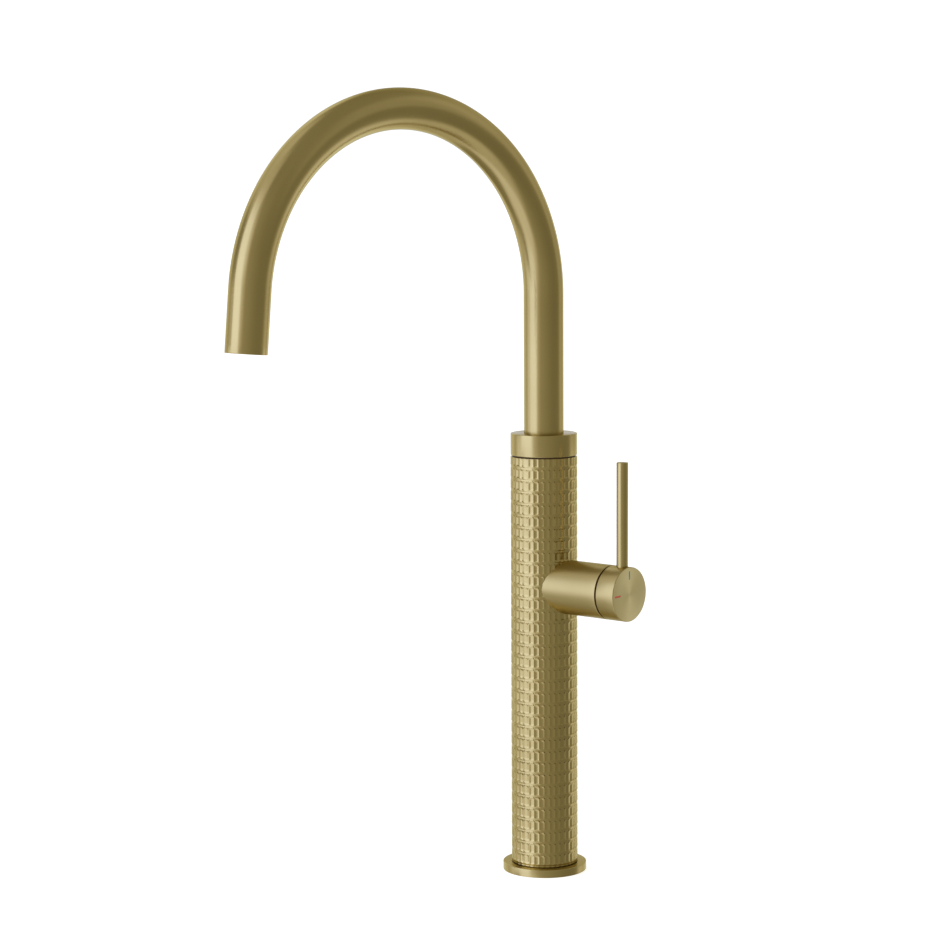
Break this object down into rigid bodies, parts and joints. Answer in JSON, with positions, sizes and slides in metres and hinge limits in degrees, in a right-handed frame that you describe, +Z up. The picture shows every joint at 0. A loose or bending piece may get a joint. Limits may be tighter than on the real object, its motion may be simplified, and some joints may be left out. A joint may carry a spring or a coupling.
{
  "type": "basin mixer tap",
  "caption": "Tall single-lever basin mixer tap: round tooled column, swivelling arched spout, thin upright lever on a side cartridge, and deck fixing kit.",
  "frame": {"origin": "centre of the underside of the base, on the column's axis, where the deck's top face is", "axes": "+Z up, +X out along the handle's axis, -Y straight ahead towards the user, where the spout reaches"},
  "size_m": [0.095, 0.2226, 0.4733],
  "materials": {
    "brushed_brass": "brushed, champagne brass coating",
    "tooled_brass": "tooled with rows of scoops, champagne brass coating",
    "plain_brass": "turned, uncoated",
    "copper": "drawn copper tube",
    "steel": "stainless",
    "rubber": "black",
    "glide_plastic": "black, low friction",
    "white_plastic": "moulded",
    "ceramic": "lapped",
    "red_enamel": "painted recess",
    "blue_enamel": "painted recess"
  },
  "bodies": {
    "tap": {"base_flange": "brushed_brass", "base_gasket": "rubber", "inlet_block": "plain_brass", "fixing_stud": "steel", "horseshoe_gasket": "rubber", "horseshoe_plate": "steel", "fixing_nut": "plain_brass", "hot_supply_tube": "copper", "cold_supply_tube": "copper", "hot_inlet_o_ring": "rubber", "cold_inlet_o_ring": "rubber", "hot_valve_o_ring": "rubber", "cold_valve_o_ring": "rubber", "column_sleeve": "tooled_brass", "valve_body": "plain_brass", "cartridge_nipple": "plain_brass", "side_housing": "brushed_brass", "cartridge_seal": "rubber", "cartridge_base": "white_plastic", "ceramic_fixed_disc": "ceramic", "cartridge_shell": "white_plastic", "spindle_o_ring": "rubber", "cartridge_nut": "plain_brass", "handle_glide_ring": "glide_plastic", "riser_tube": "copper", "riser_lower_o_ring": "rubber", "riser_upper_o_ring": "rubber", "swivel_socket": "plain_brass", "stop_pin": "steel", "swivel_glide_ring": "glide_plastic"},
    "handle": {"ceramic_moving_disc": "ceramic", "disc_carrier": "white_plastic", "cartridge_spindle": "plain_brass", "handle_cap": "brushed_brass", "handle_grub_screw": "steel", "lever_rod": "brushed_brass", "blue_mark": "blue_enamel", "red_mark": "red_enamel"},
    "spout": {"swivel_spigot": "plain_brass", "spigot_lower_o_ring": "rubber", "spigot_upper_o_ring": "rubber", "spout_collar": "brushed_brass", "spout_tube": "brushed_brass", "outlet_insert": "plain_brass", "aerator_seal": "rubber", "aerator_mesh": "steel", "aerator_insert": "white_plastic", "aerator_housing": "white_plastic"}
  },
  "joints": [
    {"name": "handle_turn", "type": "hinge", "parent": "tap", "child": "handle", "pos_m": [0.05, 0, 0.153], "axis": [1, 0, 0], "range_deg": [0, 90]},
    {"name": "spout_swivel", "type": "hinge", "parent": "tap", "child": "spout", "pos_m": [0, 0, 0.2218], "axis": [0, 0, 1], "range_deg": [-51.6, 68.4]}
  ]
}
